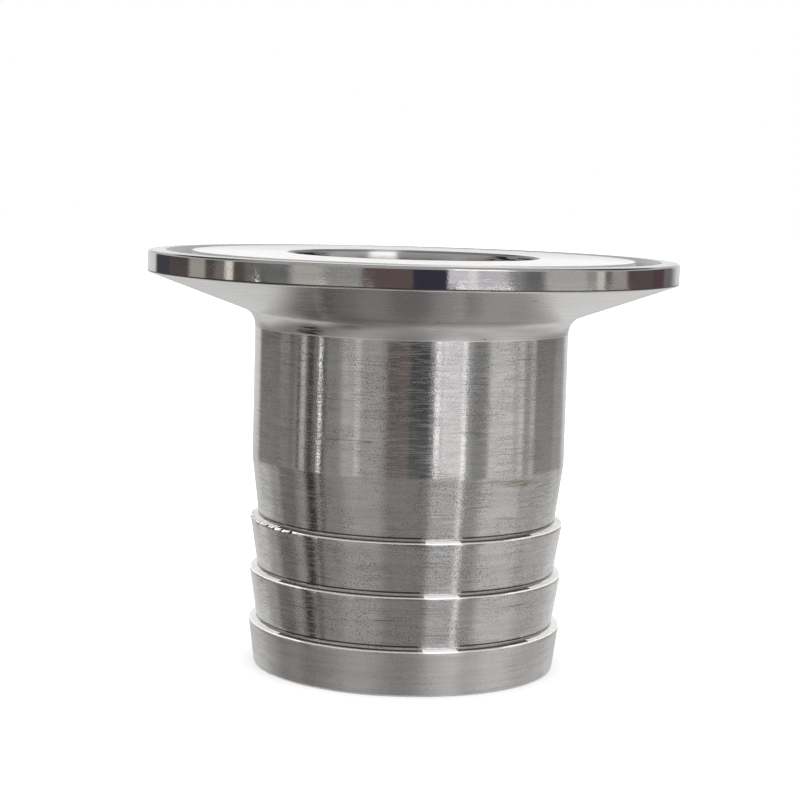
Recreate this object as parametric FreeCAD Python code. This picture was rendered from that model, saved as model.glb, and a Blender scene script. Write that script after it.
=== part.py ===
import FreeCAD, Part
import math
import os

# Hose connector turned in one piece from stainless bar, in millimetres.
# A clamp flange is at the top, a plain neck below it, and a tail with sawtooth barbs at the bottom, over one bore.
# It stands on the barbed end: +Z is up along the axis, and the origin is the centre of the ring it stands on.

# Flange
flange_diameter = 64.0
rim_height = 2.6  # the upright edge, with its two rounded corners
rim_corner_radius = 0.35
back_angle = 20.0  # degrees, the slope that the clamp's wedge pulls against

# Gasket groove in the sealing face, a round-bottomed ring
groove_middle_diameter = 56.5
groove_width = 3.2
groove_depth = 1.4

# Neck, from the sealing face down to where the lead to the barbs begins
neck_diameter = 38.0
neck_height = 24.7
neck_fillet_radius = 2.2

# Tail: a slight taper, the lead, then barbs that each drop from a crest to a root
lead_height = 7.15
barb_count = 3
barb_pitch = 6.3
crest_diameter = 38.0
root_diameter = 36.2
crest_land_height = 0.5  # short upright band under each crest
step_drop = 0.15  # how far the step slopes down from the root out to the crest
root_corner_radius = 0.2

# Nose, the last barb's run from its step to the end of the tail
nose_height = 5.55
nose_diameter = 36.7
nose_chamfer = 0.2

# Bore, straight through
bore_diameter = 30.0
bore_chamfer = 0.3

# Levels above the ring it stands on
lowest_step_z = nose_height
first_step_z = lowest_step_z + (barb_count - 1) * barb_pitch
lead_top_z = first_step_z + lead_height
face_z = lead_top_z + neck_height

flange_radius = flange_diameter / 2
neck_radius = neck_diameter / 2
crest_radius = crest_diameter / 2
root_radius = root_diameter / 2
nose_radius = nose_diameter / 2
bore_radius = bore_diameter / 2


def point(radius, z):
    return FreeCAD.Vector(radius, 0, z)


def rounded_path(corners):
    """Joins (radius, z, corner radius) points with straight lines, and rounds each corner that has a radius."""
    edges = []
    start = point(*corners[0][:2])
    for corner, following in zip(corners[1:-1], corners[2:]):
        here = point(*corner[:2])
        back = (start - here).normalize()
        ahead = (point(*following[:2]) - here).normalize()
        half_angle = back.getAngle(ahead) / 2
        corner_radius = corner[2]
        if corner_radius > 0:
            run = corner_radius / math.tan(half_angle)
            arc_start = here + back * run
            arc_end = here + ahead * run
            inward = (back + ahead).normalize()
            arc_middle = here + inward * (corner_radius / math.sin(half_angle) - corner_radius)
            edges.append(Part.LineSegment(start, arc_start).toShape())
            edges.append(Part.Arc(arc_start, arc_middle, arc_end).toShape())
            start = arc_end
        else:
            edges.append(Part.LineSegment(start, here).toShape())
            start = here
    edges.append(Part.LineSegment(start, point(*corners[-1][:2])).toShape())
    return edges


def flange_corners():
    """From the groove's outer lip round the rim and down the sloped back to the neck."""
    groove_outer_radius = (groove_middle_diameter + groove_width) / 2
    rim_bottom_z = face_z - rim_height
    back_fall = (flange_radius - neck_radius) * math.tan(math.radians(back_angle))
    return [
        (groove_outer_radius, face_z, 0),
        (flange_radius, face_z, rim_corner_radius),
        (flange_radius, rim_bottom_z, rim_corner_radius),
        (neck_radius, rim_bottom_z - back_fall, neck_fillet_radius),
        (neck_radius, lead_top_z, 0),
    ]


def barb_corners(step_z):
    """One step: in to the root, out to the crest and down its land. The next corner ends its taper."""
    crest_z = step_z - step_drop
    return [
        (root_radius, step_z, root_corner_radius),
        (crest_radius, crest_z, 0),
        (crest_radius, crest_z - crest_land_height, 0),
    ]


def nose_and_bore_corners():
    """The end of the tail, the ring it stands on, and the bore back up to the sealing face."""
    groove_inner_radius = (groove_middle_diameter - groove_width) / 2
    return [
        (nose_radius, nose_chamfer, 0),
        (nose_radius - nose_chamfer, 0, 0),
        (bore_radius + bore_chamfer, 0, 0),
        (bore_radius, bore_chamfer, 0),
        (bore_radius, face_z - bore_chamfer, 0),
        (bore_radius + bore_chamfer, face_z, 0),
        (groove_inner_radius, face_z, 0),
    ]


def groove_arc(inner_lip, outer_lip):
    """The groove's round bottom, from its inner lip to its outer lip."""
    bottom = point(groove_middle_diameter / 2, face_z - groove_depth)
    return Part.Arc(point(*inner_lip[:2]), bottom, point(*outer_lip[:2])).toShape()


def turned_body():
    """The whole outline, revolved once round the axis."""
    corners = flange_corners()
    for index in range(barb_count):
        corners += barb_corners(first_step_z - index * barb_pitch)
    corners += nose_and_bore_corners()
    edges = rounded_path(corners)
    edges.append(groove_arc(corners[-1], corners[0]))
    section = Part.Face(Part.Wire(edges))
    return section.revolve(FreeCAD.Vector(0, 0, 0), FreeCAD.Vector(0, 0, 1), 360)


os.makedirs("parts", exist_ok=True)
connector = turned_body()
connector.exportStep("parts/hose_connector.step")
box = connector.optimalBoundingBox()
print("valid:", connector.isValid(), "solids:", len(connector.Solids), "faces:", len(connector.Faces))
print(f"size: {box.XLength:.2f} x {box.YLength:.2f} x {box.ZLength:.2f} mm, volume {connector.Volume:.0f} mm3")
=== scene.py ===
# %% [markdown]
# # A turned steel hose connector
# The real part is one piece of stainless bar, turned on a lathe. A wide clamp flange with a ring
# groove for a gasket sits on top of a plain neck, and three hose barbs are cut below it.
# The frame holds the measured solid. Everything here is in metres and stands where it stands.

import math

import bpy
from mathutils import Matrix, Vector


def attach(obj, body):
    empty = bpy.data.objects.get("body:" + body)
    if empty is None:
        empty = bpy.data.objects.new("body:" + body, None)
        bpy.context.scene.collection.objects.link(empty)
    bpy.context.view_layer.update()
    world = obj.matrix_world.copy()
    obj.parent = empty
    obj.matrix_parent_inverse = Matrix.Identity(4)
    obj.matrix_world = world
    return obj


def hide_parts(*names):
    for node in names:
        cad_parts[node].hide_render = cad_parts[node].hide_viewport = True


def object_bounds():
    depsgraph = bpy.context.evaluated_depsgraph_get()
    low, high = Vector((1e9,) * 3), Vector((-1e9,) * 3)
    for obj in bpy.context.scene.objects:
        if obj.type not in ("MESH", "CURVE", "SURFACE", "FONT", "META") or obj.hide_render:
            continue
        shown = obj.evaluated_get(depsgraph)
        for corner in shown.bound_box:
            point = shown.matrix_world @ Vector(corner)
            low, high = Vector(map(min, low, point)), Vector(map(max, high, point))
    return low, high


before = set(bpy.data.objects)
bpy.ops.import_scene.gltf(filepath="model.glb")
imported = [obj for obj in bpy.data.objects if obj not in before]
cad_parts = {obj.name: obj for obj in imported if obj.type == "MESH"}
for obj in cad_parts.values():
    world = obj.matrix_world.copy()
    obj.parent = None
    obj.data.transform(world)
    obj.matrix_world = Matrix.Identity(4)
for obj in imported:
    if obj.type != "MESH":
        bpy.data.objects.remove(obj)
solid_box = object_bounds()
mm = 0.001
rim_radius = solid_box[1].x
face_z = solid_box[1].z
print("solid is", round(2 * rim_radius / mm, 2), "mm wide and", round(face_z / mm, 2), "mm tall")

# %% [markdown]
# ## The camera
# The picture was taken from just above the flange, about eight flange radii away, so the top face
# is a thin ellipse and the barbs curve downwards. The camera's place, its slight lean and its lens
# come from fitting those ellipses. The picture looks like the right part of a wider one, but a lens
# shift as large as that cut would push the part out of the other views, so the lens has none. A
# camera looks along its own -Z axis. So it is first rolled about that axis, then stood upright by a
# quarter turn about X less its pitch, and last turned about the world's Z axis.

# %% Place the camera
camera_distance = 250 * mm
camera_height = 59.45 * mm
camera_yaw = math.radians(-0.27)
camera_pitch = math.radians(6.2)
camera_roll = math.radians(1.61)
camera_lens = 92.8

aim = (
    Matrix.Rotation(-camera_yaw, 4, "Z")
    @ Matrix.Rotation(math.pi / 2 - camera_pitch, 4, "X")
    @ Matrix.Rotation(camera_roll, 4, "Z")
)
camera_place = (0, -camera_distance, camera_height)
bpy.ops.object.camera_add(location=camera_place, rotation=aim.to_euler())
camera = bpy.context.active_object
camera.name = "photo_camera"
camera.data.sensor_width = 36
camera.data.lens = camera_lens
camera.data.clip_start = 0.01
camera.data.clip_end = 10
bpy.context.scene.camera = camera
print("camera looks", [round(v, 3) for v in aim.to_3x3() @ Vector((0, 0, -1))])

# %% [markdown]
# ## The studio
# Polished steel has no colour of its own: it shows the room. On the real part the neck and the rim
# mirror a room of pale panels and dark gaps as upright bands. A world shader can hold that room
# without any object that could stand in the way. Azimuth 0 faces the camera's side, and azimuths
# grow towards +X. Each panel is where it starts and ends in degrees, and its colour. The light
# changes evenly from one panel to the next across the gap between them. The panels' edges were
# found by following the line of sight at each band's edge in the picture to the steel, and from
# there as a mirror sends it on. Their tones were worked out from the tones of those bands in the
# picture, and then adjusted until the render matched. This room is made to fit one picture.

# %% The panels that the neck mirrors
neck_panels = [
    (-180, -146, (0.8, 0.8, 0.8)),
    (-140, -93.3, (0.27, 0.26, 0.245)),
    (-92.3, -90, (0.34, 0.33, 0.32)),
    (-88.6, -86.8, (0.06, 0.06, 0.06)),
    (-86, -81.6, (0.62, 0.6, 0.57)),
    (-80.8, -79, (0.2, 0.19, 0.18)),
    (-78, -74.2, (0.03, 0.03, 0.03)),
    (-73.6, -71, (0.3, 0.29, 0.28)),
    (-70.2, -69.5, (0.06, 0.06, 0.06)),
    (-68.8, -67.4, (2.6, 2.6, 2.6)),
    (-66.6, -64.2, (0.06, 0.06, 0.06)),
    (-61.8, -51.1, (0.35, 0.35, 0.35)),
    (-48, -40, (0.66, 0.64, 0.61)),
    (-39.4, -35.6, (1.0, 1.0, 0.98)),
    (-35, -17.9, (0.55, 0.55, 0.54)),
    (-15.3, -2.7, (0.16, 0.13, 0.125)),
    (1.3, 17.5, (0.045, 0.042, 0.042)),
    (18.2, 22.1, (1.8, 1.8, 1.8)),
    (22.4, 23, (0.3, 0.3, 0.31)),
    (23.3, 37.7, (1.3, 1.3, 1.3)),
    (38.5, 40.9, (2.0, 2.0, 2.0)),
    (41.7, 43.8, (0.6, 0.6, 0.6)),
    (46.9, 57.9, (0.32, 0.32, 0.32)),
    (61, 80.2, (1.0, 1.0, 0.99)),
    (82.2, 85.8, (0.66, 0.66, 0.65)),
    (87.8, 90.7, (1.0, 1.0, 0.98)),
    (91.9, 97.5, (0.43, 0.41, 0.39)),
    (98.7, 102.9, (0.7, 0.69, 0.67)),
    (104.6, 128, (0.33, 0.315, 0.3)),
    (132, 148, (0.44, 0.44, 0.43)),
    (156, 180, (0.8, 0.8, 0.8)),
]

# %% The panels that the rim mirrors
rim_panels = [
    (-180, -145.5, (0.8, 0.8, 0.8)),
    (-141.5, -127.5, (0.07, 0.07, 0.085)),
    (-125.3, -109.6, (0.115, 0.095, 0.1)),
    (-108.4, -98.5, (0.46, 0.44, 0.41)),
    (-96.9, -91.7, (0.11, 0.1, 0.09)),
    (-90.7, -85.5, (0.24, 0.22, 0.21)),
    (-84.4, -81.3, (0.95, 0.9, 0.84)),
    (-80.3, -75.6, (0.13, 0.11, 0.1)),
    (-73.5, -53.9, (0.2, 0.2, 0.2)),
    (-49.9, -39.6, (0.56, 0.54, 0.52)),
    (-36.5, -22.3, (0.37, 0.37, 0.37)),
    (-19.8, -11.2, (0.15, 0.11, 0.115)),
    (0, 13.7, (0.05, 0.05, 0.08)),
    (14.8, 21.8, (0.85, 0.82, 0.88)),
    (23, 26, (1.05, 1.0, 1.05)),
    (27.2, 36.9, (0.72, 0.69, 0.74)),
    (41.4, 45.4, (0.32, 0.32, 0.33)),
    (48.4, 54.4, (0.19, 0.19, 0.2)),
    (57.5, 76.4, (0.55, 0.55, 0.54)),
    (77.4, 82.4, (0.4, 0.4, 0.38)),
    (83.4, 86.8, (0.75, 0.74, 0.7)),
    (87.8, 90.7, (0.22, 0.2, 0.19)),
    (92.2, 100.6, (0.45, 0.4, 0.4)),
    (102.5, 121.5, (0.13, 0.1, 0.1)),
    (123.3, 132.5, (0.12, 0.07, 0.09)),
    (135, 142.7, (0.2, 0.19, 0.19)),
    (155, 180, (0.75, 0.75, 0.75)),
]

# %% The panels that the tail and the top mirror
tail_panels = [
    (-180, -133, (0.8, 0.8, 0.8)),
    (-121, -112, (0.46, 0.46, 0.46)),
    (-111.5, -94, (0.22, 0.21, 0.2)),
    (-92, -83, (0.4, 0.385, 0.37)),
    (-81, -75, (0.04, 0.04, 0.04)),
    (-74, -72.5, (0.12, 0.12, 0.12)),
    (-71.5, -70, (0.5, 0.5, 0.5)),
    (-69, -67.8, (0.06, 0.06, 0.06)),
    (-65, -52, (0.35, 0.34, 0.33)),
    (-45, -23, (0.47, 0.47, 0.465)),
    (-14, 15, (0.31, 0.307, 0.303)),
    (18.5, 38, (0.55, 0.55, 0.55)),
    (39, 41, (1.3, 1.3, 1.3)),
    (42.5, 53.5, (0.42, 0.42, 0.42)),
    (60, 90, (0.74, 0.74, 0.735)),
    (97, 112, (0.6, 0.59, 0.58)),
    (125, 130, (0.66, 0.66, 0.66)),
    (147, 180, (0.85, 0.85, 0.85)),
]
upper_panels = [
    (-180, -170, (1.25, 1.25, 1.25)),
    (-164, -110, (0.6, 0.6, 0.6)),
    (-90, 16, (0.5, 0.49, 0.48)),
    (18, 42, (1.7, 1.7, 1.7)),
    (46, 90, (0.6, 0.6, 0.6)),
    (110, 164, (0.6, 0.6, 0.6)),
    (170, 180, (1.25, 1.25, 1.25)),
]
attic_panels = [
    (-180, -110, (0.1, 0.1, 0.1)),
    (-90, 14, (0.45, 0.45, 0.45)),
    (18, 42, (1.7, 1.7, 1.7)),
    (46, 90, (0.5, 0.5, 0.5)),
    (110, 180, (0.1, 0.1, 0.1)),
]

# %% [markdown]
# ## Mixing the room
# The direction of a reflected ray gives its azimuth and its height above the horizon, both in
# degrees. The room is stacked in rings by that height: what the tail mirrors is lowest, then come
# what the neck and the rim mirror, then a bright wall behind the part that the flat top face looks
# back at, and an upper room under a soft ceiling. Each ring eases into the next. Under what the
# neck mirrors lies a softened copy of it, and the bright wall replaces the rim's panels only at the
# azimuths that lie straight behind the part.

# %% Nodes that the world and the finishes share
def add_node(tree, kind, **settings):
    node = tree.nodes.new(kind)
    for key, value in settings.items():
        setattr(node, key, value)
    return node


def feed(tree, socket, value):
    if isinstance(value, (int, float)):
        socket.default_value = value
    elif isinstance(value, tuple):
        socket.default_value = (*value, 1)
    else:
        tree.links.new(value, socket)


def math_node(tree, operation, *values):
    node = add_node(tree, "ShaderNodeMath", operation=operation)
    for socket, value in zip(node.inputs, values):
        feed(tree, socket, value)
    return node.outputs[0]


def ease(tree, value, low, high, low_result=0, high_result=1):
    node = add_node(tree, "ShaderNodeMapRange", interpolation_type="SMOOTHSTEP")
    for socket, number in zip(node.inputs, (value, low, high, low_result, high_result)):
        feed(tree, socket, number)
    return node.outputs["Result"]


def mix_colours(tree, factor, first, second):
    node = add_node(tree, "ShaderNodeMix", data_type="RGBA")
    for socket, value in ((0, factor), (6, first), (7, second)):
        feed(tree, node.inputs[socket], value)
    return node.outputs[2]


# %% Find the direction of a ray
world = bpy.data.worlds.new("studio_room")
bpy.context.scene.world = world
world.use_nodes = True
sky = world.node_tree
sky.nodes.clear()

split = add_node(sky, "ShaderNodeSeparateXYZ")
feed(sky, split.inputs[0], add_node(sky, "ShaderNodeTexCoord").outputs["Generated"])
towards_camera = math_node(sky, "MULTIPLY", split.outputs["Y"], -1)
turn = math_node(sky, "DEGREES", math_node(sky, "ARCTAN2", split.outputs["X"], towards_camera))
height = math_node(sky, "DEGREES", math_node(sky, "ARCSINE", split.outputs["Z"]))
print("the world shader reads the turn and the height of each ray")


# %% Turn a list of panels into a ring
half_turn = 180
after_first_stop = 0.0001


def half_ring(tree, panels, start):
    ramp = add_node(tree, "ShaderNodeValToRGB")
    stops = ramp.color_ramp.elements
    edges = []
    for panel_start, panel_end, colour in panels:
        for edge in (panel_start, panel_end):
            edges.append((min(max((edge - start) / half_turn, 0), 1), colour))
    stops.remove(stops[1])
    stops[0].color = (*edges[0][1], 1)
    for place, colour in edges[1:]:
        stops.new(max(place, after_first_stop)).color = (*colour, 1)
    from_start = math_node(tree, "SUBTRACT", turn, start)
    feed(tree, ramp.inputs[0], math_node(tree, "DIVIDE", from_start, half_turn))
    return ramp.outputs[0]


def panel_ring(tree, panels):
    left = [panel for panel in panels if panel[0] < 0]
    right = [panel for panel in panels if panel[1] > 0]
    side = math_node(tree, "GREATER_THAN", turn, 0)
    left_ring = half_ring(tree, left, -half_turn)
    right_ring = half_ring(tree, right, 0)
    return mix_colours(tree, side, left_ring, right_ring)


# %% Stack the rings
neck_room = panel_ring(sky, neck_panels)
rim_room = panel_ring(sky, rim_panels)
wall_starts, wall_is_full = 141, 150
behind = ease(sky, math_node(sky, "ABSOLUTE", turn), wall_starts, wall_is_full)


def back_wall(tone):
    return mix_colours(sky, behind, rim_room, (tone, tone, tone))


softened_neck_room = mix_colours(sky, 0.3, neck_room, (0.42, 0.42, 0.41))
ceiling = (0.5, 0.5, 0.5)
room = panel_ring(sky, tail_panels)
for ring, low, high in [
    (softened_neck_room, -13.7, -9.8),
    (neck_room, -7.8, -6.4),
    (rim_room, -3.85, -3.65),
    (back_wall(0.58), 0.4, 0.8),
    (back_wall(1.25), 2.06, 2.17),
    (back_wall(0.8), 2.8, 3.2),
    (panel_ring(sky, upper_panels), 6, 9),
    (panel_ring(sky, attic_panels), 24, 26.5),
    (ceiling, 44, 54),
]:
    room = mix_colours(sky, ease(sky, height, low, high), room, ring)
print("panels:", len(neck_panels), "neck,", len(rim_panels), "rim,", len(tail_panels), "tail")

# %% [markdown]
# ## What each kind of ray sees
# The camera itself sees plain white behind the part. The floor and the steel's rough edges, which
# are only partly metallic, are lit by plain soft light, so only mirrored rays show the panels. The
# Light Path node tells these rays apart. The soft light is strong, to keep the floor almost white.

# %% Tell the rays apart
soft_light = (2.2, 2.2, 2.2)
backdrop = (1.0, 1.0, 1.0)
rays = add_node(sky, "ShaderNodeLightPath")
room = mix_colours(sky, rays.outputs["Is Diffuse Ray"], room, soft_light)
room = mix_colours(sky, rays.outputs["Is Camera Ray"], room, backdrop)
background = add_node(sky, "ShaderNodeBackground")
world_out = add_node(sky, "ShaderNodeOutputWorld")
sky.links.new(room, background.inputs["Color"])
sky.links.new(background.outputs[0], world_out.inputs["Surface"])
bpy.context.scene.view_settings.view_transform = "Standard"

# %% [markdown]
# ## The floor
# The part stands on a plain pale floor that runs out of view. It is kept out of the steel's
# reflections, because the world's lowest ring already gives the tone that the tail mirrors there.

# %% Lay the floor
floor_size = 4
bpy.ops.mesh.primitive_plane_add(size=floor_size, location=(0, 0, 0))
floor = bpy.context.active_object
floor.name = "studio_floor"
floor.visible_glossy = False
floor_paint = bpy.data.materials.new("pale_floor")
floor_paint.use_nodes = True
floor_shader = floor_paint.node_tree.nodes["Principled BSDF"]
floor_shader.inputs["Base Color"].default_value = (0.9, 0.9, 0.9, 1)
floor_shader.inputs["Roughness"].default_value = 1
floor_shader.inputs["Specular IOR Level"].default_value = 0
floor.data.materials.append(floor_paint)

# %% [markdown]
# ## The outline of the turned body
# A lathe part is one outline swept round an axis. The outline is kept as a list of corners, each
# with its radius, its height and how far the corner is rounded. It starts at the outer lip of the
# gasket groove, runs over the rim, down the tail and back up the bore to the groove's inner lip.

# %% The flange
rim_height = 2.6 * mm
rim_corner = 0.35 * mm
back_angle = math.radians(20)
groove_radius = 28.25 * mm
groove_half_width = 1.6 * mm
groove_depth = 1.4 * mm
neck_radius = 19 * mm
neck_corner = 2.2 * mm

rim_bottom_z = face_z - rim_height
cone_foot_z = rim_bottom_z - (rim_radius - neck_radius) * math.tan(back_angle)
outline = [
    (groove_radius + groove_half_width, face_z, 0),
    (rim_radius, face_z, rim_corner),
    (rim_radius, rim_bottom_z, rim_corner),
    (neck_radius, cone_foot_z, neck_corner),
]
fillet_reach = neck_corner * math.tan((math.pi / 2 - back_angle) / 2)
print("the back of the flange meets the neck at", round(cone_foot_z / mm, 2), "mm")

# %% [markdown]
# ## The barbs
# Each barb is a shallow cone that ends in a sharp step. The hose slides up over the cones and the
# steps bite into it when it is pulled. One loop writes the same corners for every barb. Its first
# corner lies on the cone above the step, and only marks how high the painted shade there reaches.
# The neck bends into the first cone by only a few degrees. A narrow rounding there keeps the smooth
# shading of the two faces apart, so that the mirrored panels break at the bend as on the real part.

# %% The neck and the barbs
lead_top_z = 25.3 * mm
first_step_z = 18.15 * mm
barb_pitch = 6.3 * mm
barb_count = 3
crest_radius = 19 * mm
root_radius = 18.1 * mm
root_corner = 0.2 * mm
step_drop = 0.15 * mm
crest_land = 0.5 * mm
crest_corner = 0.18 * mm
shade_top = 0.38 * mm

tool_mark = 0.1 * mm
lead_corner = 3 * mm
neck_top_z = cone_foot_z - fillet_reach
outline += [
    (neck_radius, neck_top_z - tool_mark, 0),
    (neck_radius, lead_top_z, lead_corner),
]
cone_top_z = lead_top_z
step_levels = [first_step_z - barb * barb_pitch for barb in range(barb_count)]
for step_z in step_levels:
    slope = (crest_radius - root_radius) / (cone_top_z - step_z)
    outline += [
        (root_radius + slope * shade_top, step_z + shade_top, 0),
        (root_radius, step_z, root_corner),
        (crest_radius, step_z - step_drop, crest_corner),
        (crest_radius, step_z - step_drop - crest_land, 0),
    ]
    cone_top_z = step_z - step_drop - crest_land
print("barb steps at", [round(step_z / mm, 2) for step_z in step_levels], "mm")

# %% The nose and the bore
nose_radius = 18.35 * mm
nose_chamfer = 0.2 * mm
bore_radius = 15 * mm
mouth_radius = 15.12 * mm
mouth_depth = 1.5 * mm
bore_chamfer = 0.3 * mm
outline += [
    (nose_radius, nose_chamfer, 0),
    (nose_radius - nose_chamfer, 0, 0),
    (bore_radius + bore_chamfer, 0, 0),
    (bore_radius, bore_chamfer, 0),
    (bore_radius, face_z - mouth_depth, 0),
    (mouth_radius, face_z - bore_chamfer, 0),
    (bore_radius + bore_chamfer, face_z, 0),
    (groove_radius - groove_half_width, face_z, 0),
]

# %% [markdown]
# ## Turning the body
# The outline is drawn as by hand: a plane is merged to one point, and the point is extruded from
# corner to corner. Where a corner is rounded, the point stops short of it and is spun about the
# centre of the rounding. The groove is one large spin of the same kind. The finished outline is
# then spun once round the Z axis, as the bar turns in the lathe.


# %% Helpers that draw an outline
def clear_selection():
    bpy.ops.object.select_all(action="DESELECT")


def start_point(name, place):
    clear_selection()
    bpy.ops.mesh.primitive_plane_add(size=mm, location=(0, 0, 0))
    piece = bpy.context.active_object
    piece.name = name
    piece.data.name = name
    bpy.ops.object.mode_set(mode="EDIT")
    bpy.ops.mesh.select_mode(type="VERT")
    bpy.ops.mesh.select_all(action="SELECT")
    bpy.ops.mesh.merge(type="CENTER")
    bpy.ops.transform.translate(value=place)
    return piece


def line_to(start, end):
    bpy.ops.mesh.extrude_region_move(TRANSFORM_OT_translate={"value": end - start})
    return end


def arc_about(centre, start, sweep, steps):
    bpy.ops.mesh.spin(steps=steps, angle=sweep, center=centre, axis=(0, 1, 0))
    arm = Matrix.Rotation(-sweep, 3, "Y") @ (start - centre)
    return centre + arm


def round_corner(start, before, here, after, corner, steps):
    to_before = (before - here).normalized()
    to_after = (after - here).normalized()
    half = to_before.angle(to_after) / 2
    reach = corner / math.tan(half)
    centre = here + (to_before + to_after).normalized() * corner / math.sin(half)
    side = to_before.cross(to_after).y
    sweep = math.copysign(math.pi - 2 * half, side)
    start = line_to(start, here + to_before * reach)
    return arc_about(centre, start, sweep, steps)


# %% Draw the outline
corner_steps = 6
places = [Vector((radius, 0, z)) for radius, z, corner in outline]
body = start_point("turned_body", places[0])
point = places[0]
for index in range(1, len(outline) - 1):
    corner = outline[index][2]
    if corner:
        before, here, after = places[index - 1 : index + 2]
        point = round_corner(point, before, here, after, corner, corner_steps)
    else:
        point = line_to(point, places[index])
point = line_to(point, places[-1])
print("outline drawn through", len(places), "corners")

# %% Spin the gasket groove into the outline
groove_round = (groove_half_width**2 + groove_depth**2) / (2 * groove_depth)
groove_centre = Vector((groove_radius, 0, face_z - groove_depth + groove_round))
groove_half_sweep = math.asin(groove_half_width / groove_round)
groove_steps = 24
weld_distance = 0.002 * mm
point = arc_about(groove_centre, point, 2 * groove_half_sweep, groove_steps)
bpy.ops.mesh.select_all(action="SELECT")
bpy.ops.mesh.remove_doubles(threshold=weld_distance)
bpy.ops.object.mode_set(mode="OBJECT")
print("the outline closes within", round((point - places[0]).length / mm, 4), "mm")
print("outline has", len(body.data.vertices), "points and", len(body.data.edges), "edges")

# %% Spin the outline once round the axis
turn_steps = 256
bpy.ops.object.mode_set(mode="EDIT")
bpy.ops.mesh.select_all(action="SELECT")
bpy.ops.mesh.spin(steps=turn_steps, angle=2 * math.pi, center=(0, 0, 0), axis=(0, 0, 1))
bpy.ops.mesh.select_all(action="SELECT")
bpy.ops.mesh.remove_doubles(threshold=weld_distance)
bpy.ops.mesh.normals_make_consistent(inside=False)
bpy.ops.object.mode_set(mode="OBJECT")
print("turned body has", len(body.data.polygons), "faces")

# %% [markdown]
# ## The torn crest
# The first barb of the real part has a ragged burr on its left front, where the tool tore the edge
# instead of cutting it. The points of that stretch of the crest are picked by their place and
# shaken a little, each in its own direction.


# %% Tear the first crest
torn_azimuths = (-94, -42)
torn_width = 0.2 * mm
torn_height = 0.22 * mm
burr_size = 0.13 * mm


def between(value, limits):
    return limits[0] < value < limits[1]


def azimuth_of(place):
    return math.degrees(math.atan2(place.x, -place.y))


def on_torn_crest(place):
    outside = math.hypot(place.x, place.y) > crest_radius - torn_width
    level = abs(first_step_z - step_drop - place.z) < torn_height
    return outside and level and between(azimuth_of(place), torn_azimuths)


bpy.ops.object.mode_set(mode="EDIT")
bpy.ops.mesh.select_all(action="DESELECT")
bpy.ops.object.mode_set(mode="OBJECT")
for vertex in body.data.vertices:
    vertex.select = on_torn_crest(vertex.co)
print("shaking", sum(vertex.select for vertex in body.data.vertices), "points of the crest")
bpy.ops.object.mode_set(mode="EDIT")
bpy.ops.transform.vertex_random(offset=burr_size, seed=4)
bpy.ops.object.mode_set(mode="OBJECT")

# %% [markdown]
# ## Smooth shading on a turned part
# Every curved face should look smooth and every flat face should stay flat, with the tiny roundings
# between them catching the light. Smoothing by angle keeps the sharp corners sharp. A Weighted
# Normal modifier then lets the wide faces decide the shading, so the narrow roundings don't bend it.


# %% Shade the body
sharp_angle = math.radians(30)


def shade_turned(piece):
    clear_selection()
    piece.select_set(True)
    bpy.context.view_layer.objects.active = piece
    bpy.ops.object.shade_smooth_by_angle(angle=sharp_angle)
    weighted = piece.modifiers.new("wide_faces_lead", "WEIGHTED_NORMAL")
    weighted.keep_sharp = True
    weighted.weight = 100
    bpy.ops.object.modifier_apply(modifier=weighted.name)


shade_turned(body)
print("body is shaded smooth")

# %% [markdown]
# ## The finish of turned steel
# A lathe tool leaves fine lines that run round the part. They spread a reflection along the axis and
# keep it sharp across it, which is why the neck shows long upright bands. Anisotropy does this for
# the lines that are too fine to see. A noise that is stretched round the axis adds the ones that can
# be seen, as a bump and as a change of roughness. Its coordinate is the direction from the axis plus
# the distance along the outline, so it has no seam and also draws rings on the flat faces. A worn
# surface also gets dark pits from an even noise, and dark scores from a second stretched one. Both
# gather in patches. The torn edge and the painted highlights on the steps and their edges are less
# metallic here than steel is, so that the soft light makes them as pale as they look in the picture.


# %% Write one finish
steel_tone = (0.63, 0.62, 0.61)
pit_tone = (0.2, 0.19, 0.18)


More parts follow.
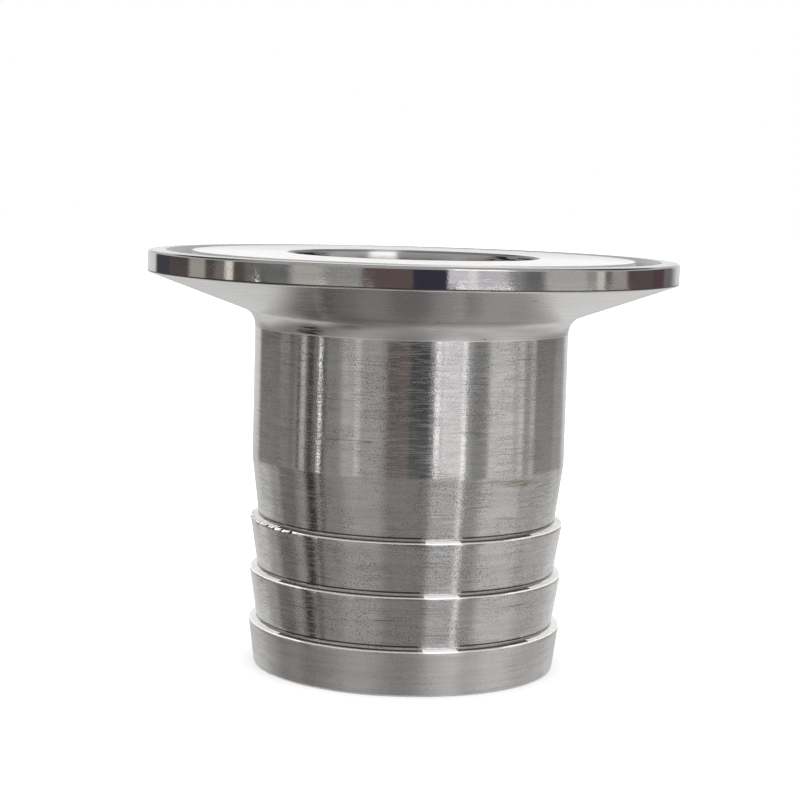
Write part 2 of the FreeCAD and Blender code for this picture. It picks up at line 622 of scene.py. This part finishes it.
def turned_steel(
    name, tone=steel_tone, roughness=0.1, spread=0.05, stretch=0.7, pieces=40, lines=5,
    depth=0.001, grain=0.5, wear=0.05, pits=0, metal=1, stains_and_painted_light=(), scratches=(),
):
    steel = bpy.data.materials.new(name)
    steel.use_nodes = True
    tree = steel.node_tree
    shader = tree.nodes["Principled BSDF"]
    shader.inputs["Metallic"].default_value = metal
    shader.inputs["Anisotropic"].default_value = stretch
    shader.inputs["Anisotropic Rotation"].default_value = 0.25

    def vector_node(operation, first, second=None):
        node = add_node(tree, "ShaderNodeVectorMath", operation=operation)
        tree.links.new(first, node.inputs[0])
        if isinstance(second, tuple):
            node.inputs[1].default_value = second
        elif second is not None:
            tree.links.new(second, node.inputs[1])
        return node

    place = add_node(tree, "ShaderNodeTexCoord").outputs["Object"]
    part = add_node(tree, "ShaderNodeSeparateXYZ")
    tree.links.new(place, part.inputs[0])
    flat = vector_node("MULTIPLY", place, (1, 1, 0)).outputs[0]
    radius = vector_node("LENGTH", flat).outputs["Value"]
    around = vector_node("NORMALIZE", flat).outputs[0]
    along = math_node(tree, "ADD", part.outputs["Z"], radius)

    def ring_noise(pieces_round, per_mm, detail):
        slow = vector_node("MULTIPLY", around, (pieces_round / (2 * math.pi),) * 3).outputs[0]
        fast = add_node(tree, "ShaderNodeCombineXYZ")
        tree.links.new(math_node(tree, "MULTIPLY", along, per_mm / mm), fast.inputs["Z"])
        noise = add_node(tree, "ShaderNodeTexNoise")
        noise.inputs["Scale"].default_value = 1
        noise.inputs["Detail"].default_value = detail
        tree.links.new(vector_node("ADD", slow, fast.outputs[0]).outputs[0], noise.inputs["Vector"])
        return noise.outputs["Fac"]

    def sand_noise(per_mm, detail):
        noise = add_node(tree, "ShaderNodeTexNoise")
        tree.links.new(place, noise.inputs["Vector"])
        noise.inputs["Scale"].default_value = per_mm / mm
        noise.inputs["Detail"].default_value = detail
        return noise.outputs["Fac"]

    fine = ring_noise(pieces, lines, detail=4)
    broad = ring_noise(pieces_round=12, per_mm=lines * 0.2, detail=3)
    patches = ease(tree, sand_noise(per_mm=0.25, detail=2), 0.4, 0.58, low_result=0.4)
    sand = math_node(tree, "MULTIPLY", sand_noise(per_mm=6, detail=1), patches)

    azimuth = math_node(
        tree, "ARCTAN2", part.outputs["X"], math_node(tree, "MULTIPLY", part.outputs["Y"], -1)
    )
    unrolled = add_node(tree, "ShaderNodeCombineXYZ")
    tree.links.new(math_node(tree, "MULTIPLY", azimuth, radius), unrolled.inputs["X"])
    tree.links.new(part.outputs["Z"], unrolled.inputs["Y"])

    def spot(at_azimuth, at_z, half_length, half_width, slope, at_radius=19):
        mapping = add_node(tree, "ShaderNodeMapping", vector_type="TEXTURE")
        tree.links.new(unrolled.outputs[0], mapping.inputs["Vector"])
        reach = math.radians(at_azimuth) * at_radius
        mapping.inputs["Location"].default_value = (reach * mm, at_z * mm, 0)
        mapping.inputs["Rotation"].default_value = (0, 0, math.radians(slope))
        mapping.inputs["Scale"].default_value = (half_length * mm, half_width * mm, 1)
        away = vector_node("LENGTH", mapping.outputs[0]).outputs["Value"]
        return ease(tree, away, 0.3, 1, low_result=1, high_result=0)

    dull = tuple(value * (1 - wear) for value in tone)
    colour = mix_colours(tree, ease(tree, broad, 0.35, 0.65), dull, tone)
    if pits:
        pit_noise = sand_noise(per_mm=7, detail=1)
        pitted = ease(tree, pit_noise, 0.5, 0.66, high_result=pits)
        score_noise = ring_noise(pieces * 0.4, lines, detail=1)
        scored = ease(tree, score_noise, 0.3, 0.38, low_result=pits, high_result=0)
        flaws = math_node(tree, "MULTIPLY", math_node(tree, "MAXIMUM", pitted, scored), patches)
        colour = mix_colours(tree, flaws, colour, pit_tone)
    for *oval, strength, mark_tone in stains_and_painted_light:
        hold = ease(tree, fine, 0.4, 0.6, low_result=0.2)
        blotch = math_node(tree, "MULTIPLY", spot(*oval), hold)
        blotch = math_node(tree, "MULTIPLY", blotch, strength)
        colour = mix_colours(tree, blotch, colour, mark_tone)
    feed(tree, shader.inputs["Base Color"], colour)
    gloss_change = ease(tree, fine, 0.48, 0.6, roughness, roughness + spread)
    feed(tree, shader.inputs["Roughness"], gloss_change)

    relief = math_node(tree, "ADD", math_node(tree, "MULTIPLY", sand, grain), fine)
    for oval in scratches:
        relief = math_node(tree, "SUBTRACT", relief, math_node(tree, "MULTIPLY", spot(*oval), 2))
    bump = add_node(tree, "ShaderNodeBump")
    bump.inputs["Strength"].default_value = 1
    bump.inputs["Distance"].default_value = depth * mm
    feed(tree, bump.inputs["Height"], relief)
    feed(tree, shader.inputs["Normal"], bump.outputs[0])
    return steel


# %% [markdown]
# ## Stains, scratches and painted light
# The part has been handled. Each mark is a soft oval on the unrolled surface: its azimuth in
# degrees, its height, half its length and half its width in millimetres, and its slope in degrees.
# Where the surface isn't as wide as the neck, its radius follows. A stain also has a strength and a
# tone, and the turning lines decide where it takes hold. A scratch is pressed into the bump. The
# gloss marks are painted highlights, and the black ones in the bore's mouth and the large dark
# smudge low on the fillet are painted shade. The gloss marks and the black ones in the bore's mouth
# copy bright and dark patches of the picture that may well be reflections.

# %% Place the marks
# A dark tone for dirt, also used for painted shade.
soot_and_shade = (0.12, 0.11, 0.1)
rust = (0.33, 0.29, 0.25)
# The pale tone of the painted highlights, also the base of several finishes.
gloss = (0.95, 0.94, 0.93)
pitch_black = (0.01, 0.01, 0.01)
# Tones of the painted shade in the bore's mouth.
bore_painted_shade = (0.03, 0.03, 0.03)
warm_bore_painted_shade = (0.04, 0.03, 0.03)
chips = (-79, -72, -67, -60, -55, -50, -45)
neck_stains_and_painted_light = [
    # The first mark is a painted highlight on the fillet, the second painted shade below it.
    (-32, 42.6, 2.4, 0.45, 0, 1.4, gloss),
    (-38, 41.6, 2.6, 0.9, 0, 1.2, soot_and_shade),
    (-21, 42.3, 1.8, 0.45, 0, 0.45, soot_and_shade),
    (-14, 29.4, 1.4, 0.16, 2, 0.8, soot_and_shade),
    (26, 41.3, 0.2, 0.15, 0, 1, soot_and_shade),
    (40.5, 40.1, 0.2, 0.2, 0, 1, soot_and_shade),
]
neck_scratches = [
    (-39.4, 28, 0.6, 0.08, -42),
    (-31, 29.5, 0.5, 0.08, -50),
    (-56, 28.2, 1.6, 0.07, -12),
]
tail_stains = [
    (43, 24.5, 4.6, 0.6, -3, 1.2, rust),
    (43, 17.95, 0.9, 0.25, 0, 1, soot_and_shade),
    (43, 11.65, 1.1, 0.25, 0, 1, soot_and_shade),
    (40, 5.35, 0.8, 0.2, 0, 1, soot_and_shade),
    (-6, 8.9, 2.6, 0.12, 3, 0.8, soot_and_shade),
    *[(chip, 17.9, 0.5, 0.22, 30, 2, pitch_black) for chip in chips],
    (-30, 13.2, 2.0, 0.15, -4, 0.6, soot_and_shade),
]
cone_stains_and_painted_light = [
    # A painted highlight on the cone.
    (-26, 44.8, 1.0, 3.0, 0, 23, 1.1, gloss),
    (33, 46.3, 0.7, 0.12, 0, 24, 0.8, soot_and_shade),
    (8, 43.3, 0.4, 0.12, 0, 20.5, 1, soot_and_shade),
]
bore_painted_shade_marks = [
    # Painted shade on both sides of the bore's mouth.
    (-113, 49.3, 7.4, 1.8, 0, 15, 2, bore_painted_shade),
    (118, 49.3, 8.6, 1.8, 0, 15, 2, warm_bore_painted_shade),
]
rim_scratches = [
    (-24.5, 49.1, 2.2, 0.14, -20, 32),
    (-27.5, 49.4, 1.4, 0.1, -8, 32),
    (-43, 49.2, 1.9, 0.08, 25, 32),
    (13, 48.6, 1.6, 0.06, 12, 32),
]
tail_scratches = [
    (-20, 14.2, 1.2, 0.08, 20),
    (12, 7.6, 0.9, 0.08, -15),
    (32, 3.0, 1.5, 0.08, 8),
]
stain_and_painted_light_count = len(neck_stains_and_painted_light + tail_stains + cone_stains_and_painted_light + bore_painted_shade_marks)
scratch_count = len(neck_scratches + tail_scratches + rim_scratches)
print("marks:", stain_and_painted_light_count, "stains,", scratch_count, "scratches")

# %% The finishes of this part
finishes = {
    "polished_rim": turned_steel(
        "polished_rim", roughness=0.03, spread=0.03, depth=0.0008, grain=5, pits=0.25,
        scratches=rim_scratches,
    ),
    "faced_top": turned_steel("faced_top", roughness=0.05, spread=0.04, depth=0.0002),
    "outer_lip": turned_steel(
        "outer_lip", (0.58, 0.575, 0.57), roughness=0.12, spread=0.06, pieces=0, lines=2.5,
        depth=0.0003, wear=0.2,
    ),
    "gasket_groove": turned_steel("gasket_groove", gloss, roughness=0.5, stretch=0, depth=0.0003),
    "satin_cone": turned_steel(
        "satin_cone", roughness=0.26, spread=0.06, stretch=0.4, depth=0.0006, stains_and_painted_light=cone_stains_and_painted_light
    ),
    "satin_fillet": turned_steel(
        "satin_fillet", (0.68, 0.67, 0.66), roughness=0.3, spread=0.1, stretch=0.3, lines=4,
        depth=0.001, stains_and_painted_light=neck_stains_and_painted_light,
    ),
    "tool_mark": turned_steel("tool_mark", (0.95, 0.94, 0.92), roughness=0.35, stretch=0),
    "lined_neck": turned_steel(
        "lined_neck", roughness=0.1, spread=0.12, stretch=1, pieces=60, lines=9, depth=0.0014,
        grain=4, wear=0.08, pits=0.6, stains_and_painted_light=neck_stains_and_painted_light, scratches=neck_scratches,
    ),
    "worn_tail": turned_steel(
        "worn_tail", roughness=0.12, spread=0.12, stretch=1, pieces=50, lines=7, depth=0.0016,
        grain=4, wear=0.1, pits=0.7, stains_and_painted_light=tail_stains, scratches=tail_scratches,
    ),
    "worn_nose": turned_steel(
        "worn_nose", (0.71, 0.7, 0.69), roughness=0.32, spread=0.1, stretch=0.6, pieces=50, lines=7,
        depth=0.0016, grain=4, wear=0.1, pits=0.35, stains_and_painted_light=tail_stains, scratches=tail_scratches,
    ),
    "reamed_bore": turned_steel(
        "reamed_bore", roughness=0.16, spread=0.06, stretch=0.8, stains_and_painted_light=bore_painted_shade_marks
    ),
    # The darker copy of the step finish: painted shade on the step faces and on the bore's chamfer.
    "painted_shade_cut": turned_steel("painted_shade_cut", (0.38, 0.37, 0.36), roughness=0.2, stretch=0, grain=2),
    # The pale copy of the step finish: a painted highlight on the step faces.
    "painted_highlight_step": turned_steel(
        "painted_highlight_step", (0.88, 0.87, 0.86), roughness=0.4, stretch=0, grain=2, metal=0.25
    ),
    # Painted highlight lines on the roundings at each step's root and crest.
    "painted_highlight_edge": turned_steel(
        "painted_highlight_edge", gloss, roughness=0.12, stretch=0, grain=2, metal=0.8
    ),
    # Painted shade: a dark line in the corner above each step and at the foot of the rim.
    "painted_shade_corner": turned_steel("painted_shade_corner", (0.12, 0.11, 0.105), roughness=0.25, stretch=0),
    "torn_edge": turned_steel(
        "torn_edge", gloss, roughness=0.5, stretch=0, depth=0.01, grain=2, metal=0.35,
        stains_and_painted_light=tail_stains,
    ),
}
print("finishes:", ", ".join(finishes))

# %% [markdown]
# ## Which finish goes where
# The zones of a turned part are rings, so the radius and the height of a face are almost enough to
# tell its zone. The azimuth is needed for the torn crest, and for the steps. In the picture their
# faces are bright under the window's strip and at the sides, where the bright part grows inwards
# from the crest, and the dark line above them breaks off under the strip. The room's reflections
# didn't show this, so paler finishes are laid there by azimuth. That is light painted into the
# finish: it doesn't move with the camera, as a reflection would. The dark line in the corner above
# each step and at the foot of the rim is painted shade, and so is the darker finish of the other
# step faces and of the bore's chamfer. The pale roundings at each step's root and crest are painted
# highlights.


# %% Give each ring its finish
hair = 0.01 * mm
rim_seam = (0.1 * mm, 0.24 * mm)
# The bottom of the band of painted shade above each step.
shade_bottom = 0.19 * mm
# Widths of the painted highlight lines on the step roundings.
highlight_width = 0.8 * crest_corner
highlight_width_in_light = 0.03 * mm
# Azimuths where that painted shade is left off.
shade_free_azimuths = (5, 21)
window_azimuths = (7, 19.5)
side_light_starts, side_light_grows = 36, 34


def top_zone(radius, z):
    if radius > groove_radius + groove_half_width - hair:
        return "outer_lip"
    if z < face_z - hair:
        return "gasket_groove"
    return "faced_top"


def tail_zone(radius, z, azimuth):
    side_light = (abs(azimuth) - side_light_starts) / side_light_grows
    lit_from_side = radius > crest_radius - (crest_radius - root_radius) * side_light
    bright = lit_from_side or between(azimuth, window_azimuths)
    for step_z in step_levels:
        above = z - step_z
        # Painted shade in the corner above the step, left off under the window's strip.
        if between(above, (shade_bottom, shade_top)) and not between(azimuth, shade_free_azimuths):
            return "painted_shade_corner"
        if not between(above, (-step_drop - crest_corner, 0)):
            continue
        # Painted highlight on the step face under the window's strip and at the sides.
        if bright and radius < crest_radius - highlight_width_in_light:
            return "painted_highlight_step"
        # Painted highlight lines on the root and crest roundings.
        if radius < root_radius + root_corner or radius > crest_radius - highlight_width:
            return "painted_highlight_edge"
        # Painted shade on the rest of the step face.
        return "painted_shade_cut"
    return "worn_tail" if z > step_levels[-1] else "worn_nose"


def zone_of(place):
    radius, z = math.hypot(place.x, place.y), place.z
    if radius < bore_radius + bore_chamfer and z < face_z - hair:
        # The bore's chamfer gets the painted shade of the steps.
        return "painted_shade_cut" if z > face_z - bore_chamfer else "reamed_bore"
    if z > face_z - groove_depth - hair and radius < rim_radius - rim_corner:
        return top_zone(radius, z)
    if radius > rim_radius - rim_corner:
        # Painted shade: a dark line at the foot of the rim's rounding.
        return "painted_shade_corner" if between(z - rim_bottom_z, rim_seam) else "polished_rim"
    if z > cone_foot_z + fillet_reach * math.sin(back_angle):
        return "satin_cone"
    if z > neck_top_z:
        return "satin_fillet"
    if z > neck_top_z - tool_mark:
        return "tool_mark"
    if z > lead_top_z:
        return "lined_neck"
    if on_torn_crest(place):
        return "torn_edge"
    return tail_zone(radius, z, azimuth_of(place))


for steel in finishes.values():
    body.data.materials.append(steel)
order = list(finishes)
for face in body.data.polygons:
    face.material_index = order.index(zone_of(face.center))
for index, name in enumerate(order):
    count = sum(face.material_index == index for face in body.data.polygons)
    print(name, count, "faces")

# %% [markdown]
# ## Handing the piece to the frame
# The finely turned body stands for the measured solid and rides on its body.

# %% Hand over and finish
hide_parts("hose_connector")
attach(body, "root")
